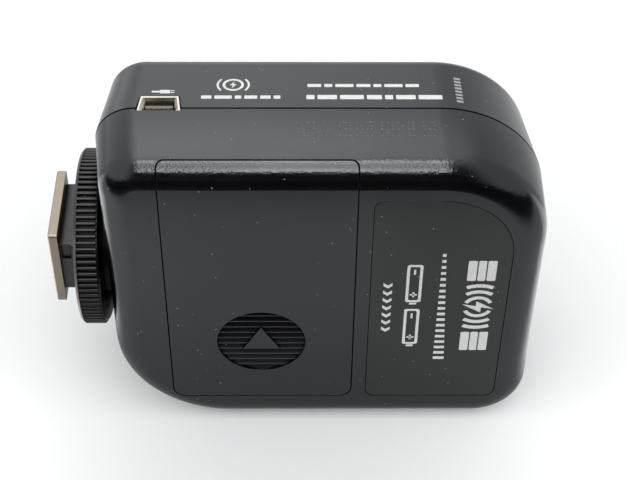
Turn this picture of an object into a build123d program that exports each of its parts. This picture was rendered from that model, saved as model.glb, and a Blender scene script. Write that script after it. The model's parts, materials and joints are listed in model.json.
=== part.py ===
from build123d import *
import math
import os

# A radio flash trigger that stands on a camera's hot shoe.
# +Z is up, +Y faces the subject, +X is the operator's right.
# The origin is the centre of the foot's underside. All sizes are in mm.

os.makedirs("parts", exist_ok=True)

# ---------------------------------------------------------------- driving dimensions

# Case: an outline is (half width, foot z, top z, corner radii), the radii in the order
# foot left, foot right, top left, top right.
parting_y = 2.4
front_y = 18.65
rear_y = -15.5
wall = 1.8
parting_outline = (36.0, 10.4, 94.9, (22.0, 8.0, 11.0, 21.0))
front_outline = (35.4, 12.45, 94.6, (22.5, 7.5, 10.5, 20.5))
rear_outline = (33.6, 12.4, 92.6, (20.0, 7.0, 9.0, 19.0))
front_rim = 5.0
rear_rim = 4.0
seam_wide = 0.38
seam_deep = 0.45

# Battery door: slides off towards +X.
door_left = -27.8
door_low = 22.95
door_high = 58.77
door_lip_y = 15.7
door_gap = 0.25
rail_wide = 1.9
groove_deep = 0.85
groove_y = (16.15, 16.95)
rib_y = (16.25, 16.85)
rib_reach = 0.65
pad_x = -10.9
pad_z = (door_low + door_high) / 2
pad_radius = 8.7
pad_step = 0.25
pad_deep = 0.72
pad_crest = 0.22
pad_pitch = 1.62
pad_rows = 11
arrow_long = 6.3
arrow_wide = 7.2

# Label panel.
label_left = -28.08
label_right = 28.03
label_low = 61.72
label_high = 88.19
label_thick = 0.4
label_gap = 0.15
label_radii = (2.3, 2.3, 2.3, 14.0)

# Battery bay and its two AA cells.
cell_radius = 7.15
cell_body = 49.2
cell_long = 50.5
cell_nub = 2.7
cell_y = 9.0
cell_low_z = pad_z - 7.6
cell_high_z = pad_z + 7.6
bay_left = -28.0
bay_right = 27.4
bay_low = 25.2
bay_high = 56.5
bay_floor_y = 1.4
bay_floor_thick = 1.4
bay_wall = 1.1
bay_top_y = 15.0
contact_thick = 0.3
contact_gap = 0.05

# Foot, lock ring and contacts.
plate_wide = 18.6
plate_long = 18.5
plate_thick = 1.8
insert_wide = 11.4
insert_long = 11.0
neck_wide = 12.5
neck_long = 17.6
neck_top = 6.3
boss_radius = 10.9
boss_top = 14.3
flange_wide = 27.0
flange_long = 24.0
flange_thick = 1.8
ring_low = 5.5
ring_high = 10.3
ring_radius = 17.52
ring_bore = 11.0
ring_bevel = 0.5
ridge_span = (6.1, 9.8)
ridge_count = 88
ridge_radius = 0.42
ridge_rise = 0.55
washer_radius = 13.9
washer_thick = 0.6
contact_board_z = 9.0
contact_board_thick = 1.0
pin_ledge_z = 3.0
pin_flange = 0.7
centre_pin_y = 2.5
data_pins = {"left": (-4.1, -1.6), "right": (4.1, -1.6), "front": (-4.1, 3.6)}

# Boards, display and keys, measured along Y from the parting line to the rear.
main_board_y = (-2.6, -1.4)
display_board_y = (-8.6, -7.4)
display_z = 68.0
window_wide = 46.0
window_high = 33.0
window_thick = 1.2
view_wide = 39.0
view_high = 26.0
lcd_frame_wide = 45.0
lcd_frame_high = 32.0
key_rise = 1.5
key_places = {
    "mode": (-14.0, 34.0, 9.0, 5.5),
    "select": (0.0, 34.0, 8.0, 8.0),
    "plus": (0.0, 43.2, 9.0, 5.5),
    "minus": (0.0, 24.8, 9.0, 5.5),
    "light": (14.0, 34.0, 9.0, 5.5),
    "test": (14.0, 22.5, 9.0, 5.5),
}
light_pipe_place = (-14.0, 22.5)

# Fasteners.
case_screw_radius = 1.0
case_head_radius = 1.65
pillar_radius = 3.2
upper_pillars = ((-25.9, 80.0), (25.9, 72.0))
lower_pillars = ((-24.0, pad_z), (24.0, pad_z))
upper_seat_y = 8.0
case_screw_long = 9.5
board_post_radius = 2.1
main_posts = ((-28.0, 72.0), (28.4, 62.0), (-22.0, 20.5), (22.0, 20.0))
display_posts = ((-22.5, 49.0), (22.5, 49.0), (-22.0, 26.5), (22.0, 26.5))

# Service port.
port_z = 22.6
port_x = (28.55, 35.75)
port_flare = 0.8
port_wall = 0.3
port_gap = 0.2
# Outlines: the two ends along Y, then the half width at each end.
port_throat = (-0.7, 2.9, 2.95, 3.2)
port_mouth = (-0.95, 3.1, 3.45, 4.0)

# ---------------------------------------------------------------- shared shapes


def across(y):
    """Plane across the case at a given y, with sketch axes X and Z."""
    return Plane.XZ.offset(-y)


def block(x, y, z, mode=Mode.ADD):
    """Box between two limits along each axis."""
    with Locations([tuple((low + high) / 2 for low, high in (x, y, z))]):
        Box(*(abs(high - low) for low, high in (x, y, z)), mode=mode)


def rod(x, z, y, radius, mode=Mode.ADD):
    """Round bar along Y between two limits."""
    with Locations([Location((x, (y[0] + y[1]) / 2, z), (90, 0, 0))]):
        Cylinder(radius, abs(y[1] - y[0]), mode=mode)


def post(x, y, z, radius, mode=Mode.ADD):
    """Round bar along Z between two limits."""
    with Locations([(x, y, (z[0] + z[1]) / 2)]):
        Cylinder(radius, abs(z[1] - z[0]), mode=mode)


def panel(left, right, low, high, radii):
    """Rectangle in the current sketch, with its own radius at each corner."""
    with Locations([((left + right) / 2, (low + high) / 2)]):
        Rectangle(right - left, high - low)
    corners = ((left, low), (right, low), (left, high), (right, high))
    for corner, radius in zip(corners, radii):
        fillet(vertices().sort_by_distance(corner)[0], radius)


def outline_at(y, far_y, far):
    """Case outline at y, straight between the parting line and the far outline."""
    share = (y - parting_y) / (far_y - parting_y)
    near = parting_outline
    sizes = [a + (b - a) * share for a, b in zip(near[:3], far[:3])]
    radii = [a + (b - a) * share for a, b in zip(near[3], far[3])]
    return (*sizes, radii)


def inset(outline, amount):
    """The same outline moved inwards."""
    half_width, foot_z, top_z, radii = outline
    smaller = [radius - amount for radius in radii]
    return (half_width - amount, foot_z + amount, top_z - amount, smaller)


def case_block(far_y, near, far, rim):
    """Solid from the parting line to far_y, with the rim of its far face rounded."""
    with BuildPart() as shape:
        for y, (half_width, foot_z, top_z, radii) in ((parting_y, near), (far_y, far)):
            with BuildSketch(across(y)):
                panel(-half_width, half_width, foot_z, top_z, radii)
        loft(ruled=True)
        far_face = faces().sort_by_distance((0, far_y, 50))[0]
        fillet(far_face.edges(), radius=rim)
    return shape.part


def case_cavity(face_y, far_outline, rim):
    """Hollow of a cover whose outer face stands at face_y."""
    inner_y = face_y - math.copysign(wall, face_y)
    near = inset(parting_outline, wall)
    far = inset(outline_at(inner_y, face_y, far_outline), wall)
    return case_block(inner_y, near, far, rim - wall)


def finish(builder, name):
    """Label a finished piece and write it."""
    builder.part.label = name
    export_step(builder.part, f"parts/{name}.step")


front_solid = case_block(front_y, parting_outline, front_outline, front_rim)
front_hollow = case_cavity(front_y, front_outline, front_rim)
rear_solid = case_block(rear_y, parting_outline, rear_outline, rear_rim)
rear_hollow = case_cavity(rear_y, rear_outline, rear_rim)

# ---------------------------------------------------------------- front cover

door_edge = (door_low - door_gap, door_high + door_gap)
port_lip_x = 35.2
collar_radius = 12.9
collar_bore = 11.1

# What stands inside the front shell: screw pillars, door frame, bay and foot collar.
with BuildPart() as front_inside:
    for x, z in upper_pillars:
        rod(x, z, (parting_y + 0.1, front_y), pillar_radius)
    for low, high in ((door_edge[0] - 1.8, door_edge[0]), (door_edge[1], door_edge[1] + 1.8)):
        block((door_left, 31.0), (door_lip_y, front_y - 0.5), (low, high))
    outer_bay = [bay_left - bay_wall, bay_right + bay_wall, bay_low - bay_wall, bay_high + bay_wall]
    floor_back = bay_floor_y - bay_floor_thick
    with BuildSketch(across(floor_back)):
        panel(*outer_bay, (1.5, 1.5, 1.5, 1.5))
    extrude(amount=floor_back - bay_top_y)
    block((bay_left, bay_right), (bay_floor_y, front_y), (bay_low, bay_high), Mode.SUBTRACT)
    # Webs tie the bay to the door frame and the shell.
    for x in (-20.0, 0.0, 20.0):
        block((x - 0.6, x + 0.6), (parting_y + 1, front_y - 0.5), (bay_high + 0.5, 62.0))
        block((x - 0.6, x + 0.6), (parting_y + 1, front_y - 0.5), (19.5, bay_low - 0.5))

with BuildPart() as front_collar:
    post(0, 0, (10.5, boss_top - 0.05), collar_radius)
    add(front_solid, mode=Mode.INTERSECT)

# The hole the door fills, a little wider than the door all round.
with BuildPart() as door_opening:
    with BuildSketch(across(door_lip_y - door_gap)):
        panel(door_left - door_gap, 42.0, *door_edge, (2.7, 0.5, 2.7, 0.5))
    extrude(amount=-8)
    with BuildSketch(Plane.YZ.offset(-40)):
        panel(door_lip_y - door_gap, 30.0, *door_edge, (1.5, 0.3, 1.5, 0.3))
    extrude(amount=90, mode=Mode.INTERSECT)

with BuildPart() as front_cover:
    add(front_solid)
    add(front_hollow, mode=Mode.SUBTRACT)
    add(front_inside.part)
    add(front_collar.part)
    add(door_opening.part, mode=Mode.SUBTRACT)
    # Ribs that the door's grooves run on.
    for low, high in (
        (door_edge[0] - 0.5, door_low + rib_reach),
        (door_high - rib_reach, door_edge[1] + 0.5),
    ):
        block((-24.0, 28.0), rib_y, (low, high))
    # Label recess.
    with BuildSketch(across(front_y - label_thick)):
        panel(label_left, label_right, label_low, label_high, label_radii)
    extrude(amount=-label_thick, mode=Mode.SUBTRACT)
    # Screw wells under the label and screw holes in the bay floor.
    for x, z in upper_pillars:
        rod(x, z, (upper_seat_y, front_y), case_head_radius + 0.2, Mode.SUBTRACT)
        rod(x, z, (0, upper_seat_y + 1), case_screw_radius + 0.15, Mode.SUBTRACT)
    for x, z in lower_pillars:
        rod(x, z, (-1, bay_floor_y + 1), case_screw_radius + 0.15, Mode.SUBTRACT)
    # Slots that the battery contacts' tails pass through.
    for x in (bay_left + 0.2, bay_right - 0.2):
        for z in (cell_low_z, cell_high_z):
            block((x - 0.4, x + 0.4), (-1, bay_floor_y + 1), (z - 2.3, z + 2.3), Mode.SUBTRACT)
    # Hole for the threaded boss of the foot.
    post(0, 0, (5, 14.5), collar_bore, Mode.SUBTRACT)
    # Room for the port, and the notch that its mouth stands in.
    reach = port_mouth[3] + port_gap
    port_width = (port_z - reach, port_z + reach)
    block((port_x[0], port_lip_x + 0.05), (2, port_mouth[1] + port_gap), port_width, Mode.SUBTRACT)
    block((port_lip_x, 37), (2, port_mouth[1] + 0.1), port_width, Mode.SUBTRACT)
    # Shadow gap along the parting line.
    with BuildSketch(across(parting_y)):
        Rectangle(100, 300)
        half_width, foot_z, top_z, radii = inset(parting_outline, seam_deep)
        with BuildSketch(across(parting_y), mode=Mode.SUBTRACT):
            panel(-half_width, half_width, foot_z, top_z, radii)
    extrude(amount=-seam_wide, mode=Mode.SUBTRACT)

# ---------------------------------------------------------------- rear cover

rear_inner_y = rear_y + wall

with BuildPart() as rear_inside:
    for x, z in upper_pillars:
        rod(x, z, (rear_y, parting_y), pillar_radius)
    for x, z in lower_pillars:
        rod(x, z, (rear_y, floor_back - 0.05), pillar_radius)
    for x, z in main_posts:
        rod(x, z, (rear_y, main_board_y[0] - 0.05), board_post_radius)
    for x, z in display_posts:
        rod(x, z, (rear_y, display_board_y[0] - 0.05), board_post_radius)
    post(0, 0, (10.5, boss_top - 0.05), collar_radius)
    add(rear_solid, mode=Mode.INTERSECT)

port_hole = [
    (port_mouth[0] - port_gap, port_z - port_mouth[2] - port_gap),
    (port_mouth[0] - port_gap, port_z + port_mouth[2] + port_gap),
    (parting_y + 0.5, port_z + port_mouth[3] + port_gap),
    (parting_y + 0.5, port_z - port_mouth[3] - port_gap),
]

with BuildPart() as rear_cover:
    add(rear_solid)
    add(rear_hollow, mode=Mode.SUBTRACT)
    add(rear_inside.part)
    # Self-tapping screw holes.
    for x, z in upper_pillars:
        rod(x, z, (-3.5, parting_y + 1), case_screw_radius + 0.05, Mode.SUBTRACT)
    for x, z in lower_pillars:
        rod(x, z, (-9.5, 1), case_screw_radius + 0.05, Mode.SUBTRACT)
    for x, z in main_posts:
        rod(x, z, (main_board_y[0] - 4.5, 0), 0.85, Mode.SUBTRACT)
    for x, z in display_posts:
        rod(x, z, (display_board_y[0] - 4.5, -7), 0.85, Mode.SUBTRACT)
    # Display window seat and viewing hole.
    with BuildSketch(across(rear_y)):
        with Locations([(0, display_z)]):
            RectangleRounded(window_wide + 0.2, window_high + 0.2, 2.6)
    extrude(amount=-(window_thick + 0.05), mode=Mode.SUBTRACT)
    with BuildSketch(across(rear_y)):
        with Locations([(0, display_z)]):
            RectangleRounded(view_wide, view_high, 1.0)
    extrude(amount=-4, mode=Mode.SUBTRACT)
    # Key holes and the status light's hole.
    for x, z, wide, high in key_places.values():
        with BuildSketch(across(rear_y - 1)):
            with Locations([(x, z)]):
                RectangleRounded(wide + 0.4, high + 0.4, high / 2 + 0.15)
        extrude(amount=-4, mode=Mode.SUBTRACT)
    rod(*light_pipe_place, (rear_y - 1, rear_inner_y + 1), 1.6, Mode.SUBTRACT)
    # Power switch: finger recess and slot in the left wall.
    block((-37, -34.35), (-8.0, -3.0), (52.5, 67.5), Mode.SUBTRACT)
    block((-37, -32), (-7.1, -3.9), (55.4, 64.6), Mode.SUBTRACT)
    # Port opening.
    with BuildSketch(Plane.YZ.offset(27.5)):
        Polygon(*port_hole, align=None)
    extrude(amount=10, mode=Mode.SUBTRACT)
    post(0, 0, (5, 14.5), collar_bore, Mode.SUBTRACT)

# ---------------------------------------------------------------- battery door

with BuildPart() as door_bounds:
    with BuildSketch(across(door_lip_y)):
        panel(door_left, 42.0, door_low, door_high, (2.5, 0.5, 2.5, 0.5))
    extrude(amount=-8)
    with BuildSketch(Plane.YZ.offset(-40)):
        panel(door_lip_y, 30.0, door_low, door_high, (1.3, 0.3, 1.3, 0.3))
    extrude(amount=90, mode=Mode.INTERSECT)

# What is cut away for the thumb pad: saw-tooth rows in a circle, with the arrow left standing.
with BuildPart() as pad_cut:
    with BuildSketch(Plane.XY.offset(pad_z - pad_radius)):
        crest_y, root_y = front_y - pad_step, front_y - pad_deep
        start = pad_x - pad_rows / 2 * pad_pitch
        profile = [(start, front_y + 1)]
        for row in range(pad_rows):
            left = start + row * pad_pitch
            profile += [(left, crest_y), (left + pad_crest, crest_y), (left + pad_pitch, root_y)]
        profile.append((start + pad_rows * pad_pitch, front_y + 1))
        Polygon(*profile, align=None)
    extrude(amount=2 * pad_radius)
    with BuildSketch(across(front_y + 1)):
        with Locations([(pad_x, pad_z)]):
            Circle(pad_radius)
        with Locations([(pad_x + arrow_long / 6, pad_z)]):
            Polygon(
                (-arrow_long / 2, -arrow_wide / 2),
                (arrow_long / 2, 0),
                (-arrow_long / 2, arrow_wide / 2),
                align=None,
                mode=Mode.SUBTRACT,
            )
    extrude(amount=2, mode=Mode.INTERSECT)

with BuildPart() as battery_door:
    add(front_solid)
    add(front_hollow, mode=Mode.SUBTRACT)
    # Side rails under both long edges.
    for low, high in ((door_low, door_low + rail_wide), (door_high - rail_wide, door_high)):
        block((door_left + 1, 30.0), (door_lip_y, front_y - 1), (low, high))
    add(door_bounds.part, mode=Mode.INTERSECT)
    for low, high in (
        (door_low - 1, door_low + groove_deep),
        (door_high - groove_deep, door_high + 1),
    ):
        block((door_left - 1, 29.0), groove_y, (low, high), Mode.SUBTRACT)
    add(pad_cut.part, mode=Mode.SUBTRACT)

# ---------------------------------------------------------------- label plate

with BuildPart() as label_plate:
    with BuildSketch(across(front_y - label_thick)):
        panel(
            label_left + label_gap,
            label_right - label_gap,
            label_low + label_gap,
            label_high - label_gap,
            [radius - label_gap for radius in label_radii],
        )
    extrude(amount=-(label_thick - 0.03))

# ---------------------------------------------------------------- foot

plate_half = (plate_wide / 2, plate_long / 2)
screw_places = [(sx * 4.5, sy * 7.3) for sx in (-1, 1) for sy in (-1, 1)]


def countersunk(x, y, grow, top, mode=Mode.ADD):
    """Flat-headed screw shape pointing up from the foot's underside."""
    post(x, y, (0.1 - 2 * grow, 0.3), 1.45 + grow, mode)
    with Locations([(x, y, 0.65)]):
        Cone(1.45 + grow, 0.8 + grow, 0.7, mode=mode)
    post(x, y, (0.9, top), 0.8 + grow, mode)


with BuildPart() as foot_plate:
    block((-plate_half[0], plate_half[0]), (-plate_half[1], plate_half[1]), (0, plate_thick))
    fillet(edges().filter_by(Axis.Z), 0.6)
    chamfer(edges().group_by(Axis.Z)[0], 0.2)
    half_insert = (insert_wide / 2 + 0.05, insert_long / 2 + 0.05)
    block(
        (-half_insert[0], half_insert[0]),
        (-half_insert[1], half_insert[1]),
        (-1, plate_thick + 1),
        Mode.SUBTRACT,
    )
    for x, y in screw_places:
        countersunk(x, y, 0.05, 4, Mode.SUBTRACT)

with BuildPart() as foot_block:
    block((-insert_wide / 2, insert_wide / 2), (-insert_long / 2, insert_long / 2), (0, 3))
    with BuildSketch(Plane.XY.offset(plate_thick)):
        RectangleRounded(neck_wide, neck_long, 0.8)
    extrude(amount=neck_top - plate_thick)
    post(0, 0, (neck_top, boss_top), boss_radius)
    block(
        (-flange_wide / 2, flange_wide / 2),
        (-flange_long / 2, flange_long / 2),
        (boss_top, boss_top + flange_thick),
    )
    # Small relief in one corner of the neck.
    block((2.6, 7.0), (neck_long / 2 - 0.4, neck_long / 2 + 1), (2.2, 4.0), Mode.SUBTRACT)
    # Well for the contact board.
    post(0, 0, (contact_board_z, 20), 9.6, Mode.SUBTRACT)
    post(0, centre_pin_y, (-1, 12), 1.05, Mode.SUBTRACT)
    post(0, centre_pin_y, (pin_ledge_z, 12), 1.55, Mode.SUBTRACT)
    for x, y in data_pins.values():
        post(x, y, (-1, 12), 0.7, Mode.SUBTRACT)
        post(x, y, (pin_ledge_z, 12), 1.05, Mode.SUBTRACT)
    for x, y in screw_places:
        post(x, y, (1, 6.6), 0.85, Mode.SUBTRACT)

with BuildPart() as foot_screws:
    for x, y in screw_places:
        countersunk(x, y, 0, 6.4)
        block((x - 1.0, x + 1.0), (y - 0.15, y + 0.15), (0, 0.5), Mode.SUBTRACT)
        block((x - 0.15, x + 0.15), (y - 1.0, y + 1.0), (0, 0.5), Mode.SUBTRACT)

with BuildPart() as clamp_washer:
    washer_low = ring_low + 0.05
    post(0, 0, (washer_low, washer_low + washer_thick), washer_radius)
    block(
        (-neck_wide / 2 - 0.1, neck_wide / 2 + 0.1),
        (-neck_long / 2 - 0.1, neck_long / 2 + 0.1),
        (0, 8),
        Mode.SUBTRACT,
    )

with BuildPart() as lock_ring:
    ridge_root = ring_radius - ridge_rise
    # Plain rim towards the shoe, then the ridges, then a plain collar.
    post(0, 0, (ring_low, ridge_span[0]), ring_radius)
    chamfer(edges().filter_by(GeomType.CIRCLE).group_by(Axis.Z)[0], ring_bevel)
    with BuildSketch(Plane.XY.offset(ridge_span[0])):
        Circle(ridge_root)
        with PolarLocations(ring_radius - ridge_radius, ridge_count):
            Circle(ridge_radius)
    extrude(amount=ridge_span[1] - ridge_span[0])
    post(0, 0, (ridge_span[1], ring_high), ridge_root)
    chamfer(edges().filter_by(GeomType.CIRCLE).group_by(Axis.Z)[-1], 0.3)
    post(0, 0, (ring_low - 1, ring_high + 1), ring_bore, Mode.SUBTRACT)
    washer_seat = ring_low + 0.07 + washer_thick
    post(0, 0, (ring_low - 1, washer_seat), washer_radius + 0.1, Mode.SUBTRACT)

with BuildPart() as contact_board:
    board_span = (contact_board_z, contact_board_z + contact_board_thick)
    post(0, 0, board_span, 9.5)
    block((-4.3, 4.3), (-4.1, -3.4), (8, 11), Mode.SUBTRACT)

# Ribbon from the contact board to the lower edge of the main board.
with BuildPart() as foot_cable:
    with BuildSketch(Plane.YZ):
        with BuildLine():
            low = (-3.75, contact_board_z + 0.1)
            Spline(low, (-3.3, 14.0), (main_board_y[0] - 0.25, 18.0), tangents=((0, 1), (0, 1)))
            Line((main_board_y[0] - 0.25, 18.0), (main_board_y[0] - 0.25, 21.0))
        trace(line_width=0.3)
    extrude(amount=4.0, both=True)


def contact_pin(x, y, radius, flange_radius, reach):
    """Round-nosed pin whose flange rests on the ledge inside the foot."""
    flange_low = pin_ledge_z + 0.03
    post(x, y, (-reach + radius / 2, flange_low), radius)
    post(x, y, (flange_low, flange_low + pin_flange), flange_radius)
    with Locations([(x, y, -reach + radius / 2)]):
        Sphere(radius)
    block((x - 3, x + 3), (y - 3, y + 3), (-5, -reach), Mode.SUBTRACT)


with BuildPart() as centre_pin:
    contact_pin(0, centre_pin_y, 1.0, 1.45, 1.0)

data_pin_parts = {}
for name, (x, y) in data_pins.items():
    with BuildPart() as data_pin:
        contact_pin(x, y, 0.65, 0.95, 0.7)
    data_pin_parts[name] = data_pin


def coil(base, direction, height, radii, wire, turns):
    """Wire coil that tapers from the first radius to the second along a direction."""
    base_radius, top_radius = radii
    angle = math.degrees(math.atan((top_radius - base_radius) / height))
    path = Helix(
        pitch=height / turns,
        height=height,
        radius=base_radius,
        center=base,
        direction=direction,
        cone_angle=angle,
        mode=Mode.PRIVATE,
    )
    with BuildSketch(Plane(origin=path @ 0, z_dir=path % 0)) as section:
        Circle(wire / 2)
    sweep(section.sketch, path=path, is_frenet=True)


spring_low = pin_ledge_z + 0.03 + pin_flange
spring_room = contact_board_z - spring_low


def pin_spring(x, y, radius, wire):
    """Coil between a pin's flange and the contact board."""
    slack = wire / 2 + 0.03
    base = (x, y, spring_low + slack)
    coil(base, (0, 0, 1), spring_room - 2 * slack, (radius, radius), wire, 5)


with BuildPart() as centre_spring:
    pin_spring(0, centre_pin_y, 1.1, 0.35)

data_spring_parts = {}
for name, (x, y) in data_pins.items():
    with BuildPart() as data_spring:
        pin_spring(x, y, 0.7, 0.25)
    data_spring_parts[name] = data_spring

# ---------------------------------------------------------------- cells and contacts


def battery_cell(z, direction):
    """AA cell along X with its raised end towards direction."""
    tip = bay_right - contact_thick - contact_gap
    if direction < 0:
        tip = bay_left + contact_thick + contact_gap
    shoulder = tip - direction * (cell_long - cell_body)
    tail = tip - direction * cell_long
    with BuildSketch(Plane.XY.offset(z)) as profile:
        with BuildLine():
            Polyline(
                (tail, cell_y),
                (tail, cell_y + cell_radius - 1.2),
                (tail + direction * 0.4, cell_y + cell_radius - 1.2),
                (tail + direction * 0.4, cell_y + cell_radius - 0.5),
                (tail + direction * 0.9, cell_y + cell_radius),
                (shoulder - direction * 0.9, cell_y + cell_radius),
                (shoulder - direction * 0.3, cell_y + cell_radius - 0.6),
                (shoulder, cell_y + cell_nub + 1.4),
                (shoulder, cell_y + cell_nub),
                (tip, cell_y + cell_nub),
                (tip, cell_y),
                close=True,
            )
        make_face()
    revolve(profile.sketch, axis=Axis((0, cell_y, z), (1, 0, 0)))


with BuildPart() as cell_lower:
    battery_cell(cell_low_z, 1)

with BuildPart() as cell_upper:
    battery_cell(cell_high_z, -1)

spring_height = (bay_right - bay_left) - 2 * (contact_thick + contact_gap) - cell_long - 0.05


def contact_plate(side, low, high, tail_z):
    """Flat contact at one end of the bay, with a tail through the bay floor."""
    inner = bay_right - contact_gap if side > 0 else bay_left + contact_gap
    reach = (inner - side * contact_thick, inner)
    block(reach, (bay_floor_y + 0.1, 14.8), (low, high))
    block(reach, (main_board_y[1] + 0.05, bay_floor_y + 2), (tail_z - 2, tail_z + 2))


def contact_coil(side, z):
    """Conical coil from a contact plate to the cell's flat end."""
    plate_face = (bay_right if side > 0 else bay_left) - side * (contact_gap + contact_thick)
    wire = 0.7
    height = spring_height - wire + 0.1
    wide_end = plate_face - side * (wire / 2 - 0.1)
    start = wide_end - height if side > 0 else wide_end
    radii = (3.0, 4.6) if side > 0 else (4.6, 3.0)
    coil((start, cell_y, z), (1, 0, 0), height, radii, wire, 3)


with BuildPart() as positive_contact:
    contact_plate(1, cell_low_z - 5.5, cell_low_z + 5.5, cell_low_z)

with BuildPart() as negative_contact:
    contact_plate(1, cell_high_z - 5.5, cell_high_z + 5.5, cell_high_z)
    contact_coil(1, cell_high_z)

with BuildPart() as bridge_contact:
    contact_plate(-1, cell_low_z - 5.5, cell_high_z + 5.5, cell_low_z)
    contact_coil(-1, cell_low_z)

# ---------------------------------------------------------------- boards

with BuildPart() as main_board:
    with BuildSketch(across(main_board_y[0])):
        panel(-31.0, 31.0, 17.0, 90.0, (18.0, 6.0, 9.0, 18.0))
    extrude(amount=main_board_y[0] - main_board_y[1])
    for x, z in upper_pillars + lower_pillars:
        rod(x, z, (-5, 0), pillar_radius + 0.2, Mode.SUBTRACT)
    for x, z in main_posts:
        rod(x, z, (-5, 0), 0.95, Mode.SUBTRACT)

with BuildPart() as display_board:
    with BuildSketch(across(display_board_y[0])):
        panel(-25.5, 25.5, 19.5, 87.0, (8.0, 3.0, 3.0, 12.0))
    extrude(amount=display_board_y[0] - display_board_y[1])
    for x, z in upper_pillars + lower_pillars:
        rod(x, z, (-10, -5), pillar_radius + 0.2, Mode.SUBTRACT)
    for x, z in main_posts:
        rod(x, z, (-10, -5), board_post_radius + 0.3, Mode.SUBTRACT)
    for x, z in display_posts:
        rod(x, z, (-10, -5), 0.95, Mode.SUBTRACT)

with BuildPart() as board_connector:
    between = (display_board_y[1] + 0.03, main_board_y[0] - 0.03)
    block((-10, 10), between, (46.0, 49.0))

with BuildPart() as rf_shield:
    can = (main_board_y[1] + 0.03, 1.6)
    block((-13, 13), can, (63.5, 83.0))
    fillet(edges().filter_by(Axis.Y), 0.6)
    block((-12.8, 12.8), (can[0] - 1, can[1] - 0.2), (63.7, 82.8), Mode.SUBTRACT)
    with Locations([(0, can[1], 73.25)]):
        with GridLocations(4.0, 4.0, 5, 1):
            Box(1.2, 2, 1.2, mode=Mode.SUBTRACT)

with BuildPart() as rf_chip:
    block((-4, 4), (main_board_y[1] + 0.03, -0.4), (67, 75))
    chamfer(edges().group_by(Axis.Y)[-1], 0.15)

with BuildPart() as mcu_chip:
    block((-6, 6), (-4.1, main_board_y[0] - 0.03), (56, 68))
    chamfer(edges().group_by(Axis.Y)[0], 0.2)

with BuildPart() as antenna:
    block((-14, 10), (2.0, 2.3), (86.3, 88.3))
    for x in (-14.0, -9.0):
        block((x, x + 0.8), (main_board_y[1] + 0.03, 2.3), (86.3, 86.7))

# ---------------------------------------------------------------- display

frame_face_y = rear_inner_y + 0.35

with BuildPart() as lcd_frame:
    frame_y = (frame_face_y, display_board_y[0] - 0.03)
    half = (lcd_frame_wide / 2, lcd_frame_high / 2)
    block((-half[0], half[0]), frame_y, (display_z - half[1], display_z + half[1]))
    fillet(edges().filter_by(Axis.Y), 0.8)
    opening = (half[0] - 1.5, half[1] - 1.5)
    block(
        (-opening[0], opening[0]),
        (-20, -5),
        (display_z - opening[1], display_z + opening[1]),
        Mode.SUBTRACT,
    )

lcd_half = (opening[0] - 0.1, opening[1] - 0.1)
lcd_x = (-lcd_half[0], lcd_half[0])
lcd_z = (display_z - lcd_half[1], display_z + lcd_half[1])

with BuildPart() as lcd_glass:
    block(lcd_x, (frame_face_y, frame_face_y + 1.8), lcd_z)
    chamfer(edges().group_by(Axis.Y)[0], 0.2)

with BuildPart() as light_guide:
    block(lcd_x, (frame_face_y + 1.85, display_board_y[0] - 0.1), lcd_z)

with BuildPart() as display_gasket:
    with BuildSketch(across(rear_inner_y + 0.03)):
        with Locations([(0, display_z)]):
            RectangleRounded(lcd_frame_wide - 1, lcd_frame_high - 1, 1)
            Rectangle(view_wide + 0.5, view_high + 0.5, mode=Mode.SUBTRACT)
    extrude(amount=-0.3)

with BuildPart() as display_window:
    with BuildSketch(across(rear_y)):
        with Locations([(0, display_z)]):
            RectangleRounded(window_wide, window_high, 2.5)
    extrude(amount=-window_thick)
    chamfer(edges().group_by(Axis.Y)[0], 0.25)

# ---------------------------------------------------------------- keys and switches

tact_height = 3.5
tact_face_y = display_board_y[0] - 0.03 - tact_height
flange_face_y = rear_inner_y + 0.2
flange_back_y = flange_face_y + 0.8
plunger_radius = 1.7

key_parts = {}
plunger_parts = {}
for name, (x, z, wide, high) in key_places.items():
    with BuildPart() as key:
        with BuildSketch(across(rear_y - key_rise)):
            with Locations([(x, z)]):
                RectangleRounded(wide, high, high / 2 - 0.05)
        extrude(amount=-(flange_face_y - rear_y + key_rise))
        fillet(edges().group_by(Axis.Y)[0], 0.6)
        with BuildSketch(across(flange_face_y)):
            with Locations([(x, z)]):
                RectangleRounded(wide + 1.5, high + 1.5, high / 2)
        extrude(amount=-(flange_back_y - flange_face_y))
    key_parts[name] = key
    with BuildPart() as plunger:
        rod(x, z, (flange_back_y + 0.03, tact_face_y + 1.2), plunger_radius)
    plunger_parts[name] = plunger

with BuildPart() as tact_bodies:
    for x, z, wide, high in key_places.values():
        block((x - 3, x + 3), (tact_face_y, display_board_y[0] - 0.03), (z - 3, z + 3))
        rod(x, z, (tact_face_y - 1, tact_face_y + 1.8), plunger_radius + 0.08, Mode.SUBTRACT)

with BuildPart() as status_light_pipe:
    rod(*light_pipe_place, (rear_y - 0.1, -9.6), 1.5)
    rod(*light_pipe_place, (rear_inner_y + 0.05, rear_inner_y + 0.7), 2.2)
    fillet(edges().group_by(Axis.Y)[0], 0.3)

with BuildPart() as status_led:
    pipe_x, pipe_z = light_pipe_place
    led_y = (display_board_y[0] - 0.83, display_board_y[0] - 0.03)
    block((pipe_x - 0.8, pipe_x + 0.8), led_y, (pipe_z - 0.4, pipe_z + 0.4))

# ---------------------------------------------------------------- power switch

knob_z = 58.0
switch_y = -5.5

with BuildPart() as power_switch_body:
    block((-32.2, -28.2), (-7.5, main_board_y[0] - 0.03), (54.0, 66.0))
    block((-33, -29.8), (switch_y - 0.95, switch_y + 0.95), (55.0, 65.0), Mode.SUBTRACT)

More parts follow.
